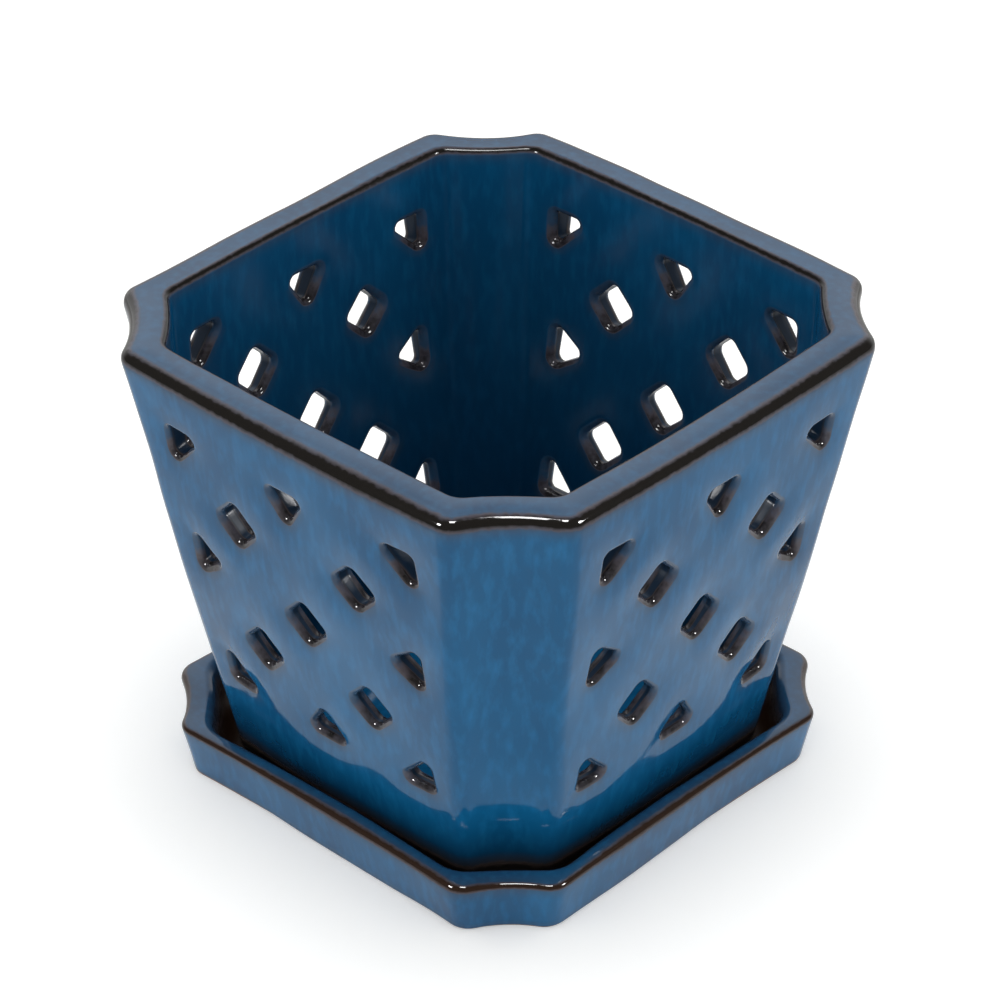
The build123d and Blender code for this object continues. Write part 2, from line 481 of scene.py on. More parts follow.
def side_net(border, grid, lip):
    """Points and triangles of one side: the border first, then the slot rings, then the filling."""
    rings = [slot.ring(lip) for slot in slots]
    points = list(border)
    edges = closed_edges(0, len(border))
    for ring in rings:
        edges += closed_edges(len(points), len(ring))
        points += ring
    for ease in EASE_RINGS:
        points += [point for slot in slots for point in slot.ring(lip + ease)[::2]]
    points += [point for point in grid if nearest_slot(point)[0] > lip + GRID_CLEARANCE]
    found, _, triangles, origins, _, _ = delaunay_2d_cdt(points, edges, [], 0, SAME_POINT)
    names = [origin[0] for origin in origins]
    kept = []
    for triangle in triangles:
        centre = sum((found[corner] for corner in triangle), Vector((0, 0))) / 3
        if inside_border(centre, border) and nearest_slot(centre)[0] > lip * HOLE_SHARE:
            kept.append([names[corner] for corner in triangle])
    return points, kept, [len(ring) for ring in rings]


print("a side's net is made when its rows are known")

# %% [markdown]
# ## Where the glaze lies on the walls
# Melted glaze runs down. It leaves the edge of the rim and the lower lips of the slots, so it is thin there,
# and it gathers above the foot and towards the bottom inside, where it is thick and dark. The same notes
# paint shade as well: the outside darkens towards the foot, where the pot stands in the saucer, with a dark
# brown band of painted shade just above the foot, and the inside darkens towards the floor. These functions
# write the notes.

# %% Glaze notes of the walls
WALL_NOTE, RIM_FADE, RIM_FADE_POWER = 0.28, 3.0, 1.5
# painted shade: a dark brown band just above the foot, where the pot stands in the saucer's tray
FOOT_NOTE_AND_SHADE, FOOT_SHADE_LOW, FOOT_SHADE_HIGH = 0.9, 3.0, 8.0
SLOT_NOTE, SLOT_NOTE_ABOVE, SLOT_FADE = 0.55, 0.1, 4.4
# pooled glaze and painted shade: the outside is darkened towards the foot, where the pot stands in the
# saucer
FOOT_POOL_AND_SHADE, FOOT_POOL_AND_SHADE_HEIGHT = 1.0, 26.0
# pooled glaze and painted shade: the inside is darker towards the floor
FLOOR_POOL_AND_SHADE, RIM_POOL_AND_SHADE = 1.0, 0.25


def rim_note(z, edge_z):
    """How thin the glaze is on a wall just under the rounded edge that starts at edge_z."""
    return WALL_NOTE * max(0.0, 1 - (edge_z - z) / RIM_FADE) ** RIM_FADE_POWER


def foot_shade(z):
    """How dark brown the wall is painted just above the foot, as painted shade where the pot stands in the
    saucer's tray.
    """
    share = (foot_z + FOOT_SHADE_HIGH - z) / (FOOT_SHADE_HIGH - FOOT_SHADE_LOW)
    return FOOT_NOTE_AND_SHADE * min(max(share, 0.0), 1.0)


def slot_note(point):
    """How thin the glaze is beside a slot: most on the lower lips, from which it ran off."""
    distance, direction = nearest_slot(point)
    below = between(SLOT_NOTE_ABOVE, 1.0, max(0.0, -direction.y))
    return below * SLOT_NOTE * max(0.0, 1 - max(distance, 0) / SLOT_FADE)


def pool_and_shade_outside(z):
    """How thick the glaze that ran down the outside lies above the foot, with painted shade that darkens the
    wall low down, where the pot stands in the saucer.
    """
    return FOOT_POOL_AND_SHADE * max(0.0, 1 - (z - foot_z) / FOOT_POOL_AND_SHADE_HEIGHT)


def pool_and_shade_inside(z):
    """How thick the poured glaze lies inside, with painted shade: darker towards the floor."""
    return between(FLOOR_POOL_AND_SHADE, RIM_POOL_AND_SHADE, (z - floor_z) / (rim_z - floor_z))


for z in (foot_z, rim_z):
    print("outside at", round(z), "mm: thin by", round(foot_shade(z), 2), "and pooled by", pool_and_shade_outside(z))

# %% [markdown]
# ## One slotted skin
# The corners are swept: the same few columns at a stack of heights, with the side's net between them.
# Rows lie closer together under the rim, where the glaze note has to fade over a few millimetres. A skin
# is described once, as a named tuple, so that the slots can later ask it for its sizes and its lip.

# %% Sweep the corners and lay in the sides
ROW_SPACING = 3.4
EDGE_ROWS = (0.8, 1.8, 3.2)
Skin = namedtuple("Skin", "plan_at sizes sign lip dip rows thin_at pool_at")
corner_columns = [
    (turn * QUARTER_POINTS + column) % PLAN_POINTS
    for turn in range(4) for column in range(SIDE_POINTS - 1, QUARTER_POINTS + 1)
]


def wall_rows(low, high):
    count = math.ceil((high - EDGE_ROWS[-1] - low) / ROW_SPACING)
    rows = [between(low, high - EDGE_ROWS[-1], step / count) for step in range(count + 1)]
    return rows + [high - edge for edge in reversed(EDGE_ROWS[:-1])] + [high]


def side_border(rings, turn):
    """Points round one side: along its lowest row, up, back along the highest and down."""
    first = turn * QUARTER_POINTS
    last = first + SIDE_POINTS - 1
    side = range(first, last + 1)
    border = [rings[0][column] for column in side] + [ring[last] for ring in rings[1:-1]]
    border += [rings[-1][column] for column in reversed(side)]
    return border + [ring[first] for ring in reversed(rings[1:-1])]


def swept_rings(clay, skin):
    """Whole rings at both ends of a skin, and its corners between them."""
    rings = []
    for z in skin.rows:
        kept = None if z in (skin.rows[0], skin.rows[-1]) else corner_columns
        rings.append(clay.ring(skin.plan_at(z), z, thin=skin.thin_at(z), pool=skin.pool_at(z), keep=kept))
    clay.stack(rings)
    return rings


def flat_grid(skin):
    """Points that fill a side, where its rows cross its columns."""
    grid = []
    for z in skin.rows[1:-1]:
        row = [Vector((point.x, point.y, z)) for point, _ in skin.plan_at(z)[1:SIDE_POINTS - 1]]
        grid += [Vector((point.y, upslope_of(point))) for point in row]
    return grid


def make_skin(clay, skin):
    """Adds a wall skin. Returns its lowest and highest rings and the hole rings of each side."""
    rings = swept_rings(clay, skin)
    border = [clay.points[index] for index in side_border(rings, 0)]
    drawing = [Vector((point.y, upslope_of(point))) for point in border]
    points, triangles, counts = side_net(drawing, flat_grid(skin), skin.lip)
    filling = []
    for point in points[len(border):]:
        dip = slot_dip(nearest_slot(point)[0], skin.dip)
        place = plane_point(point.x, point.y, skin_depth(point.x, point.y, skin.sizes) - skin.sign * dip)
        filling.append((place, max(slot_note(point), skin.thin_at(place.z)), skin.pool_at(place.z)))
    holes = []
    for turn in range(4):
        spin = Matrix.Rotation(math.radians(90 * turn), 3, "Z")
        names = side_border(rings, turn)
        names += [clay.add(spin @ place, thin, pool=pool) for place, thin, pool in filling]
        clay.faces += [tuple(names[corner] for corner in triangle) for triangle in triangles]
        first = len(border)
        for count in counts:
            holes.append(names[first:first + count])
            first += count
    return rings[0], rings[-1], holes


print("rows are", ROW_SPACING, "mm apart")

# %% [markdown]
# ## Both skins of the pot
# The outer skin runs from the top of the foot ring to where the rim starts to round, and the inner one
# from the rounding of the floor to that of the rim's inner edge. The rim falls a little towards its outer
# edge, as wet clay does under a sponge.

# %% Make the two skins
RIM_OUTER_ROUND, RIM_INNER_ROUND, FLOOR_ROUND = 4.0, 2.0, 4.0
OUTER_DROP = 0.5                       # how far the rim's outer edge lies below its inner one
OUTER_LIP, INNER_LIP = 1.6, 2.0        # rounding of the slots' edges
OUTER_DIP, INNER_DIP = 0.6, 0.1
outer_edge_z = rim_z - OUTER_DROP
underside_z = foot_z + FOOT_HEIGHT
outer_rows = wall_rows(underside_z, outer_edge_z - RIM_OUTER_ROUND)
inner_rows = wall_rows(floor_z + FLOOR_ROUND, rim_z - RIM_INNER_ROUND)


# thin glaze under the rim, and the painted shade just above the foot
def outer_thin_and_shade(z):
    return max(rim_note(z, outer_rows[-1]), foot_shade(z))


def inner_thin(z):
    return rim_note(z, inner_rows[-1])


pot_clay = Clay()
outer_skin = Skin(outer_plan, outer_sizes, 1, OUTER_LIP, OUTER_DIP, outer_rows, outer_thin_and_shade, pool_and_shade_outside)
inner_skin = Skin(inner_plan, inner_sizes, -1, INNER_LIP, INNER_DIP, inner_rows, inner_thin, pool_and_shade_inside)
outer_low, outer_high, outer_holes = make_skin(pot_clay, outer_skin)
inner_low, inner_high, inner_holes = make_skin(pot_clay, inner_skin)
print("both skins:", len(pot_clay.points), "points,", len(outer_holes), "holes")

# %% [markdown]
# ## Lips and walls of the slots
# The holes were cut in soft clay and their edges wiped, so each has a rounded lip on both sides of the wall
# and a straight stretch between them. Every ring is the slot's own outline at a different growth, pushed
# into the wall. The glaze is thin and brown on the lips, most of all on the lower ones, and in the hole the
# wall is painted dark navy and dry, as painted shade.

# %% Join the two skins through the slots
LIP_STEPS, TUNNEL_STEPS = 6, 4
LIP_NOTE, LIP_NOTE_ABOVE = 0.7, 0.6
# painted shade: the walls of the holes are darkened to navy and made dry
TUNNEL_NOTE, TUNNEL_SHADE = 0.1, 5.5


def lip_ring(clay, slot, spin, skin, growth, depth):
    """One ring of a rounded lip: the slot's outline, grown and pushed into the wall."""
    made = {}
    for place, point in enumerate(slot.ring(growth)):
        sunk = slot_dip(growth, skin.dip) + depth
        spot = plane_point(point.x, point.y, skin_depth(point.x, point.y, skin.sizes) - skin.sign * sunk)
        below = max(0.0, -(point - slot.middle).normalized().y)
        made[place] = clay.add(spin @ spot, LIP_NOTE * between(LIP_NOTE_ABOVE, 1.0, below))
    return made


def slot_lip(clay, slot, spin, skin, hole):
    """Rings from the hole in a skin, round its lip, to the slot's straight stretch."""
    rings = [dict(enumerate(hole))]
    for step in range(1, LIP_STEPS + 1):
        turn = math.radians(90) * step / LIP_STEPS
        growth, depth = skin.lip * (1 - math.sin(turn)), skin.lip * (1 - math.cos(turn))
        rings.append(lip_ring(clay, slot, spin, skin, growth, depth))
    return rings


def slot_tunnel(clay, start, end):
    """Rings between the innermost rings of a slot's two lips."""
    rings = []
    for step in range(1, TUNNEL_STEPS):
        made = {}
        for place in start:
            point = clay.points[start[place]].lerp(clay.points[end[place]], step / TUNNEL_STEPS)
            made[place] = clay.add(point, TUNNEL_NOTE, pool=TUNNEL_SHADE)
        rings.append(made)
    return rings


for number, (outer_hole, inner_hole) in enumerate(zip(outer_holes, inner_holes)):
    spin = Matrix.Rotation(math.radians(90 * (number // len(slots))), 3, "Z")
    slot = slots[number % len(slots)]
    outer_lip = slot_lip(pot_clay, slot, spin, outer_skin, outer_hole)
    inner_lip = slot_lip(pot_clay, slot, spin, inner_skin, inner_hole)
    rings = outer_lip + slot_tunnel(pot_clay, outer_lip[-1], inner_lip[-1]) + inner_lip[::-1]
    for lower, upper in zip(rings, rings[1:]):
        pot_clay.bridge(lower, upper, len(outer_hole))
print(len(outer_holes), "slots, each of", 2 * LIP_STEPS + TUNNEL_STEPS - 1, "rings between the skins")

# %% [markdown]
# ## The rim
# The rim is a nearly flat land between two rounded edges. Each edge is a quarter circle of rings, and the
# land between them is filled with straight steps, very slightly crowned. The glaze breaks to dark brown
# about halfway round each rounded edge, and stays a greyed blue on the land, where it is only a little
# thin.

# %% Make the rim
ROUND_STEPS, LAND_STEPS = 9, 6
LAND_CROWN = 0.15
LAND_NOTE, EDGE_PEAK = 0.36, 0.48
OUTER_EDGE_NOTE, INNER_EDGE_NOTE = 1.0, 0.88
quarter_turn = [math.radians(90) * step / ROUND_STEPS for step in range(ROUND_STEPS + 1)]


def rounded(radius, turn):
    """How far a rounded edge has drawn in at a turn, and how far it is still from its end."""
    return radius * (1 - math.cos(turn)), radius * (1 - math.sin(turn))


def edge_note(turn, most):
    """How thin the glaze is round a rounded edge: most halfway, less on the wall and on the top."""
    share = turn / math.radians(90)
    if share < EDGE_PEAK:
        return between(WALL_NOTE, most, share / EDGE_PEAK)
    return between(most, LAND_NOTE, (share - EDGE_PEAK) / (1 - EDGE_PEAK))


def fill_between(clay, start, end, steps, thin=0.0, bare=0.0, pool=0.0, crown=0.0):
    """Rings between two others, lifted by up to crown halfway between them."""
    rings = [start]
    for step in range(1, steps):
        share = step / steps
        lift = Vector((0, 0, crown * 4 * share * (1 - share)))
        made = {}
        for column in start:
            point = clay.points[start[column]].lerp(clay.points[end[column]], share)
            made[column] = clay.add(point + lift, thin, bare, pool)
        rings.append(made)
    clay.stack(rings + [end])


outer_edge, inner_edge = [outer_high], [inner_high]
for turn in quarter_turn[1:]:
    inset, fall = rounded(RIM_OUTER_ROUND, turn)
    z = outer_edge_z - fall
    outer_edge.append(pot_clay.ring(outer_plan(z), z, inset, edge_note(turn, OUTER_EDGE_NOTE)))
    inset, fall = rounded(RIM_INNER_ROUND, turn)
    z = rim_z - fall
    inner_edge.append(pot_clay.ring(inner_plan(z), z, -inset, edge_note(turn, INNER_EDGE_NOTE)))
pot_clay.stack(outer_edge)
pot_clay.stack(inner_edge)
fill_between(pot_clay, outer_edge[-1], inner_edge[-1], LAND_STEPS, thin=LAND_NOTE, crown=LAND_CROWN)
print("rim of", len(outer_edge) + LAND_STEPS + len(inner_edge) - 1, "rings")

# %% [markdown]
# ## Floor and drain hole
# Inside, the wall turns into the floor in a wide curve, so that nothing can gather in a corner, and the
# floor has a drain hole with a rounded edge. The hole is a circle, but its ring has a point for each
# column of the plan, so that plain quads can fill the floor between them.

# %% Make the floor
FLOOR_STEPS = 8
DRAIN_HOLE, DRAIN_ROUND = 18.0, 1.0
DRAIN_NOTE, DRAIN_LOW_NOTE = 0.7, 0.8


def circle_plan(radius):
    """A circle with as many columns as the plan, each in the direction of its plan point."""
    outs = [point.normalized() for point, _ in outer_plan(foot_z)]
    return [(out * radius, out) for out in outs]


hollow = [inner_low]
for turn in quarter_turn[1:]:
    inset, fall = rounded(FLOOR_ROUND, turn)
    z = floor_z + fall
    hollow.append(pot_clay.ring(inner_plan(z), z, inset, pool=FLOOR_POOL_AND_SHADE))
pot_clay.stack(hollow)
drain = []
for turn in reversed(quarter_turn):
    inset, fall = rounded(DRAIN_ROUND, turn)
    drain.append(pot_clay.ring(circle_plan(DRAIN_HOLE / 2 + inset), floor_z - fall, thin=DRAIN_NOTE))
fill_between(pot_clay, hollow[-1], drain[0], FLOOR_STEPS)
drain_plan = circle_plan(DRAIN_HOLE / 2)
drain.append(pot_clay.ring(drain_plan, underside_z + DRAIN_ROUND, thin=DRAIN_LOW_NOTE, bare=1.0))
drain.append(pot_clay.ring(drain_plan, underside_z, thin=1.0, bare=1.0))
pot_clay.stack(drain)
print("floor at", round(floor_z, 1), "mm with a drain hole of", DRAIN_HOLE, "mm")

# %% [markdown]
# ## The foot
# The pot stands on a ring with a gap in the middle of each side, so that water can leave. The columns of
# the plan were spaced so that two of them lie at the edges of a gap. The ring is made of the columns that
# stand, and each gap is closed by a strip above it and a face at both ends. What touches the shelf of the
# kiln is bare clay.

# %% Make the foot
FOOT_ROUND, FOOT_RING = 1.5, 9.0
BARE_STEPS = 2                         # steps of a standing edge's rounding that were wiped bare
CORNER_SHIFT = 2 - math.sqrt(2)        # change of a corner's cut for each millimetre that a plan grows


def wiped(turn):
    """1 on the lowest steps of a standing edge's rounding, and 0 above them."""
    return float(turn > quarter_turn[-1 - BARE_STEPS])


ring_half, ring_corner = BASE_WIDTH / 2 - FOOT_RING, BASE_CORNER - CORNER_SHIFT * FOOT_RING
ring_plan = plan(ring_half, ring_corner, EDGE_BOW, INNER_HOLLOW, INNER_SHOULDER_ROUND)
recess = pot_clay.ring(ring_plan, underside_z, bare=1.0)
fill_between(pot_clay, drain[-1], recess, FLOOR_STEPS, bare=1.0)
gap_columns = [SIDE_STEPS + step for step in range(-GAP_STEPS, GAP_STEPS + 1)]
gaps = [[turn * QUARTER_POINTS + column for column in gap_columns] for turn in range(4)]
standing = [column for column in range(PLAN_POINTS) if not any(column in gap[1:-1] for gap in gaps)]
foot = [{column: recess[column] for column in standing}]
foot.append(pot_clay.ring(ring_plan, foot_z, bare=1.0, keep=standing))
for turn in reversed(quarter_turn):
    inset, fall = rounded(FOOT_ROUND, turn)
    z = foot_z + fall
    # The foot's rounding is painted dark brown as well, as painted shade, and its lowest steps are bare
    # clay.
    foot.append(pot_clay.ring(outer_plan(z), z, inset, FOOT_NOTE_AND_SHADE, wiped(turn), keep=standing))
foot.append({column: outer_low[column] for column in standing})
for gap in gaps:
    gap_inside, gap_outside = ({column: ring[column] for column in gap} for ring in (recess, outer_low))
    pot_clay.bridge(gap_inside, gap_outside)
    for column in (gap[0], gap[-1]):
        pot_clay.faces.append(tuple(ring[column] for ring in foot))
pot_clay.stack(foot)
print("pot:", len(pot_clay.points), "points,", len(pot_clay.faces), "faces")

# %% [markdown]
# ## The plan of the saucer
# The saucer is pressed in a mould: a low tray with a leaning wall, a rounded lip and a shallow recess
# below, so that it stands on a ring. Its sides draw in slightly between the corners. Outside it has the
# deep hollow of the pot's corners, and inside its corners are cut further back, which leaves a wider lip
# there.

# %% Draw the saucer's plan
SAUCER_FLOOR, SAUCER_LIP, SAUCER_FLARE = 6.0, 5.8, 3.2
FOOT_CLEARANCE, SAUCER_CORNER_LESS, SAUCER_HOLLOW, SAUCER_BOW = 4.2, 1.6, 2.2, -1.2
TRAY_CORNER_MORE, TRAY_SHOULDER_ROUND = 4.5, 9.0
lip_z = saucer_high.z


def tray_plan(growth, hollow, shoulder, corner_more=0.0):
    """Plan of the saucer, grown outward from the inside of its wall at the floor."""
    half = BASE_WIDTH / 2 + FOOT_CLEARANCE + growth
    corner = BASE_CORNER - SAUCER_CORNER_LESS + CORNER_SHIFT * growth + corner_more
    return plan(half, corner, SAUCER_BOW, hollow, shoulder)


def tray_outside(z):
    return tray_plan(SAUCER_LIP + SAUCER_FLARE * z / lip_z, SAUCER_HOLLOW, SHOULDER_ROUND)


def tray_inside(z):
    growth = SAUCER_FLARE * (z - SAUCER_FLOOR) / (lip_z - SAUCER_FLOOR)
    return tray_plan(growth, INNER_HOLLOW, TRAY_SHOULDER_ROUND, TRAY_CORNER_MORE)


print("saucer", round(lip_z, 1), "mm high, with a lip", SAUCER_LIP, "mm wide")

# %% [markdown]
# ## The saucer
# The saucer is one profile carried round that plan: from the recess below, over the standing edge, up the
# wall, round the lip and down to the tray. A lathe tool can't follow a square plan, so the profile is a list
# of rings again. The lip is brown along its outer edge, and the tray inside is painted dark brown and dry,
# as painted shade under the pot.

# %% Make the saucer
LIP_ROUND, EDGE_ROUND = 2.2, 0.8
SAUCER_RECESS, SAUCER_RING = 1.5, 9.0
WALL_STEPS, TRAY_STEPS = 8, 10
MIDDLE_RADIUS = 9.0                    # of the flat disc in the middle, above and below
STANDING_NOTE = 0.2
INNER_LIP_LOW, INNER_LIP_TOP = 0.45, 0.15
TRAY_EDGE_SHADE, TRAY_MIDDLE_SHADE = 0.6, 1.0      # painted shade in the tray: how dark brown and how dry, at its edge and in its middle

saucer_clay = Clay()
recess_plan = tray_plan(SAUCER_LIP - SAUCER_RING, INNER_HOLLOW, INNER_SHOULDER_ROUND)
below = saucer_clay.ring(circle_plan(MIDDLE_RADIUS), SAUCER_RECESS, bare=1.0)
recess = saucer_clay.ring(recess_plan, SAUCER_RECESS, bare=1.0)
saucer_clay.faces.append(tuple(below.values()))
fill_between(saucer_clay, below, recess, TRAY_STEPS, bare=1.0)
rings = [recess, saucer_clay.ring(recess_plan, 0, bare=1.0)]
for turn in reversed(quarter_turn):
    inset, z = rounded(EDGE_ROUND, turn)
    rings.append(saucer_clay.ring(tray_outside(z), z, inset, STANDING_NOTE, wiped(turn)))
for step in range(1, WALL_STEPS + 1):
    z = between(EDGE_ROUND, lip_z - LIP_ROUND, step / WALL_STEPS)
    rings.append(saucer_clay.ring(tray_outside(z), z, thin=rim_note(z, lip_z - LIP_ROUND)))
for turn in quarter_turn[1:]:
    inset, fall = rounded(LIP_ROUND, turn)
    z = lip_z - fall
    rings.append(saucer_clay.ring(tray_outside(z), z, inset, edge_note(turn, OUTER_EDGE_NOTE)))
for turn in reversed(quarter_turn):
    inset, fall = rounded(LIP_ROUND, turn)
    z = lip_z - fall
    note = between(INNER_LIP_LOW, INNER_LIP_TOP, turn / math.radians(90))
    rings.append(saucer_clay.ring(tray_inside(z), z, -inset, note))
# The tray's rounding and floor are painted dark brown and dry, as painted shade under the pot.
for turn in quarter_turn:
    inset, fall = rounded(FLOOR_ROUND, turn)
    z = SAUCER_FLOOR + fall
    note = between(TRAY_EDGE_SHADE, TRAY_MIDDLE_SHADE, turn / math.radians(90))
    rings.append(saucer_clay.ring(tray_inside(z), z, inset, note, pool=note))
saucer_clay.stack(rings)
above = saucer_clay.ring(circle_plan(MIDDLE_RADIUS), SAUCER_FLOOR, thin=TRAY_MIDDLE_SHADE, pool=TRAY_MIDDLE_SHADE)
fill_between(saucer_clay, rings[-1], above, TRAY_STEPS, thin=TRAY_MIDDLE_SHADE, pool=TRAY_MIDDLE_SHADE)
saucer_clay.faces.append(tuple(above.values()))
print("saucer:", len(saucer_clay.points), "points,", len(saucer_clay.faces), "faces")

# %% [markdown]
# ## From clay to objects
# Fired clay is never quite true: its sides wander by a few tenths of a millimetre, and a glossy glaze
# shows that at once, because every reflection bends with the surface. The wander is put into the mesh
# itself, with smooth noise along each point's own direction. It is weaker on the inside, which a smooth
# form shaped, and left out at the foot, which was rubbed flat.

# %% Fire the pieces
WANDER = ((42.0, 0.85), (17.0, 0.22))     # size of the waves and their height, in millimetres
INSIDE_CALM = 0.85
SHARP_ANGLE = math.radians(40)
POT_SEED, SAUCER_SEED = 3.0, 8.0


def wander(spot, seed):
    """Height of the noise at a place, in metres."""
    shift = Vector((seed, 0, 0))
    return MM * sum(amount * noise.noise(spot / (size * MM) + shift) for size, amount in WANDER)


def fire(clay, name, seed):
    """A piece with an uneven surface, outward faces, and shading that is smooth except at sharp turns."""
    piece = clay.into_object(name)
    mesh = piece.data
    edit = bmesh.new()
    edit.from_mesh(mesh)
    bmesh.ops.recalc_face_normals(edit, faces=edit.faces)
    edit.normal_update()
    bare = edit.verts.layers.float["bare"]
    standing_z = min(vertex.co.z for vertex in edit.verts)
    for vertex in edit.verts:
        inward = max(0.0, -vertex.normal.xy.dot(vertex.co.xy.normalized()))
        calm = max(vertex[bare], INSIDE_CALM * inward)
        vertex.co += vertex.normal * wander(vertex.co, seed) * (1 - calm)
        vertex.co.z = max(vertex.co.z, standing_z)
    open_edges = sum(not edge.is_manifold for edge in edit.edges)
    edit.to_mesh(mesh)
    edit.free()
    mesh.shade_smooth()
    mesh.set_sharp_from_angle(angle=SHARP_ANGLE)
    mesh.update()
    triangles = sum(len(face.vertices) - 2 for face in mesh.polygons)
    print(name, triangles, "triangles,", open_edges, "open edges")
    return piece


pot = fire(pot_clay, "glazed_pot", POT_SEED)
saucer = fire(saucer_clay, "glazed_saucer", SAUCER_SEED)

# %% [markdown]
# ## Colours and nodes
# Colours are written as the hex values that a colour picker shows. Shaders count light, not picker
# values, so one function turns them to linear. Another adds a node, sets it and links it in one call, and
# gives back its outputs, which keeps a node tree readable as a list of steps.

# %% Helpers for finishes
MIDDLE_GREY = "#808080"


def linear(code):
    """An sRGB hex colour as linear red, green, blue and alpha."""
    parts = [int(code[start:start + 2], 16) / 255 for start in (1, 3, 5)]
    return [part / 12.92 if part <= 0.04045 else ((part + 0.055) / 1.055) ** 2.4 for part in parts] + [1.0]


def node(tree, kind, inputs, **settings):
    """Adds a node with its settings, fills or links its inputs by name or number, and gives its outputs."""
    made = tree.nodes.new(kind)
    for name, value in settings.items():
        setattr(made, name, value)
    for socket, value in inputs.items():
        if isinstance(value, bpy.types.NodeSocket):
            tree.links.new(value, made.inputs[socket])
        else:
            made.inputs[socket].default_value = value
    return made.outputs


def waves_of(size):
    """Texture scale that draws features of this many millimetres."""
    return 1 / (size * MM)


print("a picker's middle grey is", round(linear(MIDDLE_GREY)[0], 3), "of white in light")

# %% [markdown]
# ## Cobalt glaze: the blue
# The finish is a glossy glaze, stained blue with cobalt, poured over dark stoneware and fired until it ran.
# Its blue is deep and slightly cloudy, because the glaze is nowhere equally thick, and it has flecks drawn
# downward by the run. A flat colour would look like plastic. Here slow noise makes the clouds, finer noise
# that is stretched along the height makes the flecks, and the note of pooled glaze darkens it, which also
# paints shade where little light reaches.

# %% The blue of the glaze
# The navy of pooled glaze also serves as painted shade: at the foot, in the holes, deep inside and in the
# tray.
GLAZE_DEEP, GLAZE_BODY, GLAZE_FLECK, POOL_AND_SHADE_BLUE = "#094a73", "#0b5682", "#186c9e", "#042842"
CLOUD_SIZE, CLOUD_DETAIL, CLOUD_LOW, CLOUD_HIGH = 24.0, 3.0, 0.3, 0.7
FLECK_LOW, FLECK_HIGH, FLECK_MOST = 0.45, 0.75, 0.5


def poured_blue(tree, run, fleck, pool):
    """Layers over the deep blue: clouds of thinner glaze, flecks that ran downward, and pooled glaze, which
    also serves as painted shade.
    """
    cloud = node(
        tree, "ShaderNodeTexNoise", {"Vector": run, "Scale": waves_of(CLOUD_SIZE), "Detail": CLOUD_DETAIL}
    )[0]
    cloudy = node(
        tree, "ShaderNodeMapRange", {"Value": cloud, "From Min": CLOUD_LOW, "From Max": CLOUD_HIGH},
        interpolation_type="SMOOTHSTEP",
    )[0]
    flecked = node(
        tree, "ShaderNodeMapRange",
        {"Value": fleck, "From Min": FLECK_LOW, "From Max": FLECK_HIGH, "To Max": FLECK_MOST},
    )[0]
    return [(cloudy, GLAZE_BODY), (flecked, GLAZE_FLECK), (pool, POOL_AND_SHADE_BLUE)]


print("deep blue", [round(part, 3) for part in linear(GLAZE_DEEP)[:3]], "in light")

# %% [markdown]
# ## Cobalt glaze: the brown of the edges
# Where such a glaze is thin, the iron of the clay shows through. A little thin, the blue greys. Thinner
# still, it breaks to a tan fringe and then to a brown that is nearly black. The limits are read from the
# note of thin glaze, frayed by fine noise, because a break never runs as a ruled line. The saucer's brown
# is warmer than the pot's.

# %% The brown of the edges
# The tan and the browns also serve as painted shade, just above the pot's foot and in the saucer's tray.
THIN_GLAZE, BREAK_TAN = "#423d38", "#6c5038"
POT_BROWN_AND_SHADE, SAUCER_BROWN_AND_SHADE = "#15120f", "#2a1a10"
BREAK_SIZE, BREAK_DETAIL, BREAK_SPREAD = 1.8, 3.0, 0.3
NOISE_MIDDLE = 0.5
TINT_FULL, TINT_MOST = 0.5, 0.6
FRINGE_LOW, FRINGE_HIGH, FRINGE_MOST = 0.4, 0.6, 0.35
BREAK_LOW, BREAK_HIGH = 0.5, 0.8


def broken_brown(tree, moved, thin, brown):
    """Layers over the blue: greyed, then tan, then brown, as the note of thin glaze rises; above the pot's
    foot and in the saucer's tray the same layers are painted shade.
    """
    fray = node(
        tree, "ShaderNodeTexNoise", {"Vector": moved, "Scale": waves_of(BREAK_SIZE), "Detail": BREAK_DETAIL}
    )[0]
    fray = node(tree, "ShaderNodeMath", {0: fray, 1: NOISE_MIDDLE}, operation="SUBTRACT")[0]
    edge = node(tree, "ShaderNodeMath", {0: fray, 1: BREAK_SPREAD, 2: thin}, operation="MULTIPLY_ADD")[0]
    tinted = node(
        tree, "ShaderNodeMapRange", {"Value": thin, "From Max": TINT_FULL, "To Max": TINT_MOST}
    )[0]
    fringe = node(
        tree, "ShaderNodeMapRange",
        {"Value": edge, "From Min": FRINGE_LOW, "From Max": FRINGE_HIGH, "To Max": FRINGE_MOST},
        interpolation_type="SMOOTHSTEP",
    )[0]
    broken = node(
        tree, "ShaderNodeMapRange", {"Value": edge, "From Min": BREAK_LOW, "From Max": BREAK_HIGH},
        interpolation_type="SMOOTHSTEP",
    )[0]
    return [(tinted, THIN_GLAZE), (fringe, BREAK_TAN), (broken, brown)]


print("the glaze breaks to brown in flecks of", BREAK_SIZE, "mm")

# %% [markdown]
# ## Cobalt glaze: gloss and surface
# The outside is wet and glossy, and turns milky where it mirrors a pale table at a slant. The inside is a
# little duller, the holes and the tray are nearly dry, and bare clay is matt. All of it follows from the
# notes, except that the inside is found from the direction in which the surface faces. The surface has
# slow ripples of the run, the faint peel of a fired glaze, and grit on bare clay, and bump is enough for
# all three.

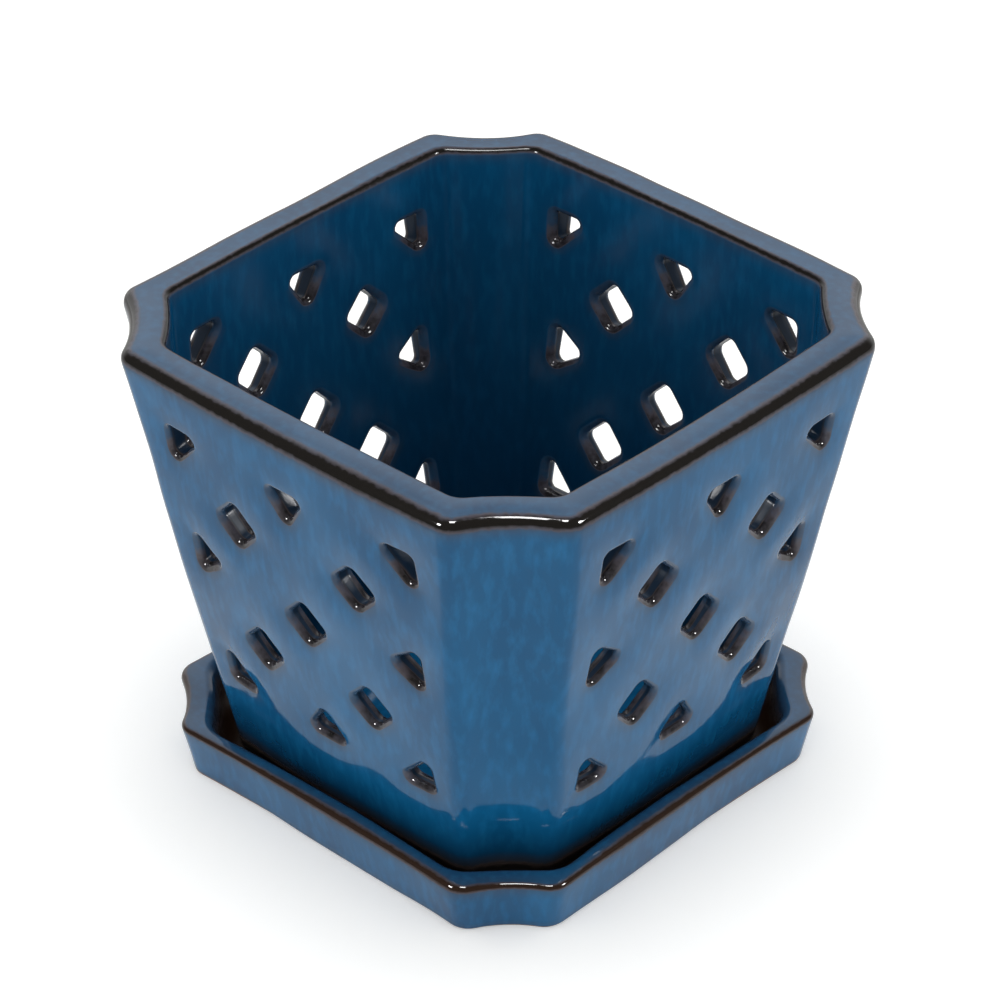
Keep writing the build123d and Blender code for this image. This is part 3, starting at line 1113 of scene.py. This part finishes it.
# %% Gloss and surface
WET_ROUGH, FLECK_ROUGH, DRY_ROUGH, CLAY_ROUGH = 0.04, 0.09, 0.5, 0.8
WET_LEVEL, DRY_LEVEL = 0.5, 0.15
INSIDE_START, INSIDE_FULL = -0.005, -0.03     # metres from the axis, times how far the surface faces it
INSIDE_DULL, INSIDE_SHEEN = 0.09, 0.5
RIPPLE_SIZE, RIPPLE_DETAIL, RIPPLE_HEIGHT = 9.0, 1.0, 0.08
PEEL_SIZE, PEEL_DETAIL, PEEL_HEIGHT = 1.4, 2.0, 0.008
GRIT_SIZE, GRIT_DETAIL, GRIT_HEIGHT = 0.7, 3.0, 0.05


def wet_gloss(tree, place, fleck, thin, pool, bare):
    """Roughness, and the strength of the reflections."""
    spot = place["Object"]
    level_spot = node(tree, "ShaderNodeVectorMath", {0: spot, 1: (1, 1, 0)}, operation="MULTIPLY")[0]
    outward = node(
        tree, "ShaderNodeVectorMath", {0: level_spot, 1: place["Normal"]}, operation="DOT_PRODUCT"
    )["Value"]
    inside = node(
        tree, "ShaderNodeMapRange", {"Value": outward, "From Min": INSIDE_START, "From Max": INSIDE_FULL}
    )[0]
    dry = node(tree, "ShaderNodeMath", {0: thin, 1: pool}, operation="MULTIPLY")[0]
    rough = node(tree, "ShaderNodeMapRange", {"Value": fleck, "To Min": WET_ROUGH, "To Max": FLECK_ROUGH})[0]
    rough = node(tree, "ShaderNodeMath", {0: inside, 1: INSIDE_DULL, 2: rough}, operation="MULTIPLY_ADD")[0]
    rough = node(tree, "ShaderNodeMix", {0: dry, 2: rough, 3: DRY_ROUGH}, data_type="FLOAT")[0]
    rough = node(tree, "ShaderNodeMix", {0: bare, 2: rough, 3: CLAY_ROUGH}, data_type="FLOAT")[0]
    sheen = node(tree, "ShaderNodeMapRange", {"Value": inside, "To Min": 1.0, "To Max": INSIDE_SHEEN})[0]
    wet = node(tree, "ShaderNodeMapRange", {"Value": dry, "To Min": WET_LEVEL, "To Max": DRY_LEVEL})[0]
    wet = node(tree, "ShaderNodeMath", {0: wet, 1: sheen}, operation="MULTIPLY")[0]
    return rough, wet


def run_surface(tree, run, moved, bare):
    """Ripples, peel and grit as one bumped normal."""
    waves = []
    for spot, size, detail in (
        (run, RIPPLE_SIZE, RIPPLE_DETAIL), (moved, PEEL_SIZE, PEEL_DETAIL), (moved, GRIT_SIZE, GRIT_DETAIL)
    ):
        inputs = {"Vector": spot, "Scale": waves_of(size), "Detail": detail}
        waves.append(node(tree, "ShaderNodeTexNoise", inputs)[0])
    ripple, peel, grit = waves
    surface = node(tree, "ShaderNodeBump", {"Height": ripple, "Distance": RIPPLE_HEIGHT * MM})[0]
    surface = node(
        tree, "ShaderNodeBump", {"Height": peel, "Distance": PEEL_HEIGHT * MM, "Normal": surface}
    )[0]
    return node(
        tree, "ShaderNodeBump",
        {"Height": grit, "Strength": bare, "Distance": GRIT_HEIGHT * MM, "Normal": surface},
    )[0]


print("ripples of", RIPPLE_SIZE, "mm and peel of", PEEL_SIZE, "mm")

# %% [markdown]
# ## Cobalt glaze on both pieces
# A glaze of this kind has an index of refraction near 1.5, so the plain dielectric gloss of the shader
# makes the milky slant by itself, and nothing has to be painted. Each piece gets its own copy of the
# finish: the patterns are moved, so that the saucer doesn't repeat the pot, and the brown of its edges is
# its own.

# %% Glaze the pieces
GLAZE_IOR = 1.5
BARE_CLAY = "#8a6a50"
FLECK_SIZE, FLECK_DETAIL, RUN_STRETCH = 2.4, 4.0, 0.3
POT_SHIFT, SAUCER_SHIFT = 0.0, 0.4     # metres by which the patterns are moved


def cobalt_glaze(name, shift, brown):
    finish = bpy.data.materials.new(name)
    finish.use_nodes = True
    tree = finish.node_tree
    tree.nodes.clear()
    place = node(tree, "ShaderNodeTexCoord", {})
    moved = node(tree, "ShaderNodeMapping", {"Vector": place["Object"], "Location": (shift, 0, 0)})[0]
    run = node(tree, "ShaderNodeMapping", {"Vector": moved, "Scale": (1, 1, RUN_STRETCH)})[0]
    thin, bare, pool = (
        node(tree, "ShaderNodeAttribute", {}, attribute_name=name)["Fac"]
        for name in ("thin", "bare", "pool")
    )
    fleck = node(
        tree, "ShaderNodeTexNoise", {"Vector": run, "Scale": waves_of(FLECK_SIZE), "Detail": FLECK_DETAIL}
    )[0]
    layers = poured_blue(tree, run, fleck, pool) + broken_brown(tree, moved, thin, brown)
    colour = linear(GLAZE_DEEP)
    for share, code in layers + [(bare, BARE_CLAY)]:
        colour = node(tree, "ShaderNodeMix", {0: share, 6: colour, 7: linear(code)}, data_type="RGBA")[2]
    rough, wet = wet_gloss(tree, place, fleck, thin, pool, bare)
    surface = run_surface(tree, run, moved, bare)
    glaze = {"Base Color": colour, "Roughness": rough, "IOR": GLAZE_IOR, "Specular IOR Level": wet}
    shader = node(tree, "ShaderNodeBsdfPrincipled", {**glaze, "Normal": surface})[0]
    node(tree, "ShaderNodeOutputMaterial", {"Surface": shader})
    return finish


pot.data.materials.append(cobalt_glaze("cobalt_glaze_on_pot", POT_SHIFT, POT_BROWN_AND_SHADE))
saucer.data.materials.append(cobalt_glaze("cobalt_glaze_on_saucer", SAUCER_SHIFT, SAUCER_BROWN_AND_SHADE))
print("finishes", [piece.data.materials[0].name for piece in (pot, saucer)])

# %% [markdown]
# ## The table
# The pot stands on matt white paper. For the camera it is lifted a little, to plain white. In the mirror of
# the glaze it is painted darker with the distance from the pot and towards the camera, as painted light: a
# real sheet looks so when only its middle is lit, and that gives the sides of the pot their slow change from
# milky to deep blue.

# %% Floor of the studio
FLOOR_SIZE = 6.0
FLOOR_WHITE = "#f4f4f2"
CAMERA_LIFT, MIRROR_LIFT = 0.25, 0.06
FADE_START, FADE_END, FADE_LEFT = 0.095, 0.175, 0.62
FRONT_START, FRONT_END, FRONT_LEFT = 0.06, 0.12, 0.5


def painted_light_on_paper(tree):
    """Painted light: how much of the paper's white the glaze mirrors at each place, 1 near the pot and less
    further away.
    """
    spot = node(tree, "ShaderNodeTexCoord", {})["Object"]
    ahead = node(tree, "ShaderNodeVectorMath", {0: spot, 1: toward_camera}, operation="DOT_PRODUCT")["Value"]
    away = node(tree, "ShaderNodeVectorMath", {0: spot}, operation="LENGTH")["Value"]
    shares = []
    for distance, start, end, left in (
        (ahead, FRONT_START, FRONT_END, FRONT_LEFT), (away, FADE_START, FADE_END, FADE_LEFT)
    ):
        inputs = {"Value": distance, "From Min": start, "From Max": end, "To Min": 1.0, "To Max": left}
        shares.append(node(tree, "ShaderNodeMapRange", inputs, interpolation_type="SMOOTHSTEP")[0])
    return node(tree, "ShaderNodeMath", dict(enumerate(shares)), operation="MINIMUM")[0]


def white_paper():
    finish = bpy.data.materials.new("matt_white_paper")
    finish.use_nodes = True
    tree = finish.node_tree
    tree.nodes.clear()
    ray = node(tree, "ShaderNodeLightPath", {})
    mirrored, seen = ray["Is Glossy Ray"], ray["Is Camera Ray"]
    shade = node(tree, "ShaderNodeMix", {0: mirrored, 2: 1.0, 3: painted_light_on_paper(tree)}, data_type="FLOAT")[0]
    white = linear(FLOOR_WHITE)[:3]
    tone = node(tree, "ShaderNodeVectorMath", {0: white, "Scale": shade}, operation="SCALE")[0]
    paper = node(tree, "ShaderNodeBsdfDiffuse", {"Color": tone})[0]
    lift = node(tree, "ShaderNodeMath", {0: mirrored, 1: MIRROR_LIFT}, operation="MULTIPLY")[0]
    lift = node(tree, "ShaderNodeMix", {0: seen, 2: lift, 3: CAMERA_LIFT}, data_type="FLOAT")[0]
    lifted = node(tree, "ShaderNodeEmission", {"Strength": lift})[0]
    paper = node(tree, "ShaderNodeAddShader", {0: paper, 1: lifted})[0]
    node(tree, "ShaderNodeOutputMaterial", {"Surface": paper})
    return finish


half = FLOOR_SIZE / 2
sheet = bpy.data.meshes.new("studio_floor")
corners = [(-half, -half, 0), (half, -half, 0), (half, half, 0), (-half, half, 0)]
sheet.from_pydata(corners, [], [(0, 1, 2, 3)])
sheet.materials.append(white_paper())
floor = bpy.data.objects.new("studio_floor", sheet)
bpy.context.collection.objects.link(floor)
print("floor", FLOOR_SIZE, "m wide")

# %% [markdown]
# ## The surroundings
# What a glossy thing mirrors matters more than what lights it. For light, the studio is white all round,
# brightest near the horizon. For the mirror of the glaze, it is bright behind the pot and dim towards the
# camera, as a real one is, and that draws the dark lines along the near edges of the rim. The camera
# itself sees plain white.

# %% Light from all round
SKY_HORIZON, SKY_ZENITH, SKY_BEND = 1.5, 0.75, 0.7
MIRRORED_DIM, MIRRORED_BACKDROP, MIRRORED_LOW = 0.16, 1.22, 0.45
BACKDROP_START, BACKDROP_END, LOW_START = 0.25, 0.87, 0.84


def mirrored_studio(tree, direction):
    """Brightness of the studio in the glaze: dim in front, bright behind the pot, lower straight behind."""
    facing = node(
        tree, "ShaderNodeVectorMath", {0: direction, 1: -toward_camera}, operation="DOT_PRODUCT"
    )["Value"]
    start = {"Value": facing, "From Min": BACKDROP_START, "To Min": MIRRORED_DIM}
    end = {"From Max": BACKDROP_END, "To Max": MIRRORED_BACKDROP}
    rising = node(tree, "ShaderNodeMapRange", {**start, **end}, interpolation_type="SMOOTHSTEP")[0]
    lowered = node(
        tree, "ShaderNodeMapRange",
        {"Value": facing, "From Min": LOW_START, "To Min": MIRRORED_BACKDROP, "To Max": MIRRORED_LOW},
    )[0]
    return node(tree, "ShaderNodeMath", {0: rising, 1: lowered}, operation="MINIMUM")[0]


world = bpy.data.worlds.new("studio_surroundings")
world.use_nodes = True
tree = world.node_tree
tree.nodes.clear()
ray = node(tree, "ShaderNodeLightPath", {})
direction = node(tree, "ShaderNodeTexCoord", {})["Generated"]
height = node(tree, "ShaderNodeSeparateXYZ", {"Vector": direction})["Z"]
soft = node(
    tree, "ShaderNodeMapRange",
    {"Value": height, "From Max": SKY_BEND, "To Min": SKY_HORIZON, "To Max": SKY_ZENITH},
)[0]
mirrored = mirrored_studio(tree, direction)
strength = node(tree, "ShaderNodeMix", {0: ray["Is Glossy Ray"], 2: soft, 3: mirrored}, data_type="FLOAT")[0]
strength = node(tree, "ShaderNodeMix", {0: ray["Is Camera Ray"], 2: strength, 3: 1.0}, data_type="FLOAT")[0]
sky = node(tree, "ShaderNodeBackground", {"Color": (1, 1, 1, 1), "Strength": strength})[0]
node(tree, "ShaderNodeOutputWorld", {"Surface": sky})
bpy.context.scene.world = world
print("light from", SKY_HORIZON, "at the horizon to", SKY_ZENITH, "above")

# %% [markdown]
# ## The lamps
# One large, soft lamp overhead gives the shadow under the rim. It is kept out of the mirror of the glaze,
# where it would lie as a white sheet on the rim. Three small lamps do the opposite: they show only in the
# gloss, as the short glints on the rounded corners of the rim, the lip and the slots, and add no light to
# the clay.

# %% Hang the lamps
LAMP_HEIGHT, LAMP_SIZE, LAMP_POWER = 1.3, 0.55, 4.5
GLINT_SIZE, GLINT_POWER, GLINT_AHEAD = 0.34, 11.0, 0.33
SIDE_TURNS = {"left": -60.0, "right": 71.0}     # degrees from the direction of the camera
SIDE_SIZE, SIDE_POWER, SIDE_AWAY, SIDE_HEIGHT = 0.26, 13.0, 1.05, 0.7


def soft_lamp(name, size, power, place):
    """A square lamp that faces the pot."""
    lamp = bpy.data.lights.new(name, "AREA")
    lamp.size = size
    lamp.energy = power
    hung = bpy.data.objects.new(name, lamp)
    hung.location = place
    hung.rotation_euler = (Vector((0, 0, TARGET_HEIGHT * MM)) - place).to_track_quat("-Z", "Y").to_euler()
    bpy.context.collection.objects.link(hung)
    return hung


overhead = Vector((0, 0, LAMP_HEIGHT))
soft_lamp("overhead_softbox", LAMP_SIZE, LAMP_POWER, overhead).visible_glossy = False
nearer = overhead + toward_camera * GLINT_AHEAD
soft_lamp("overhead_glint", GLINT_SIZE, GLINT_POWER, nearer).visible_diffuse = False
for side, turn in SIDE_TURNS.items():
    aside = Matrix.Rotation(math.radians(turn), 3, "Z") @ toward_camera * SIDE_AWAY
    side_place = aside + Vector((0, 0, SIDE_HEIGHT))
    soft_lamp(f"{side}_glint", SIDE_SIZE, SIDE_POWER, side_place).visible_diffuse = False
bpy.context.scene.view_settings.view_transform = "Standard"
print("softbox of", LAMP_POWER, "W at", LAMP_HEIGHT, "m, and", 1 + len(SIDE_TURNS), "lamps for glints")

# %% [markdown]
# ## Hand over the pieces
# Each glazed piece takes the place of the plain solid of the same name. It rides on that solid's body, so
# that the pot lifts out of the saucer as the imported joint says.

# %% Hand the pieces over
for piece, cad_node in ((pot, "pot"), (saucer, "saucer")):
    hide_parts(cad_node)
    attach(piece, cad_node)
    print(piece.name, "rides on", cad_node)
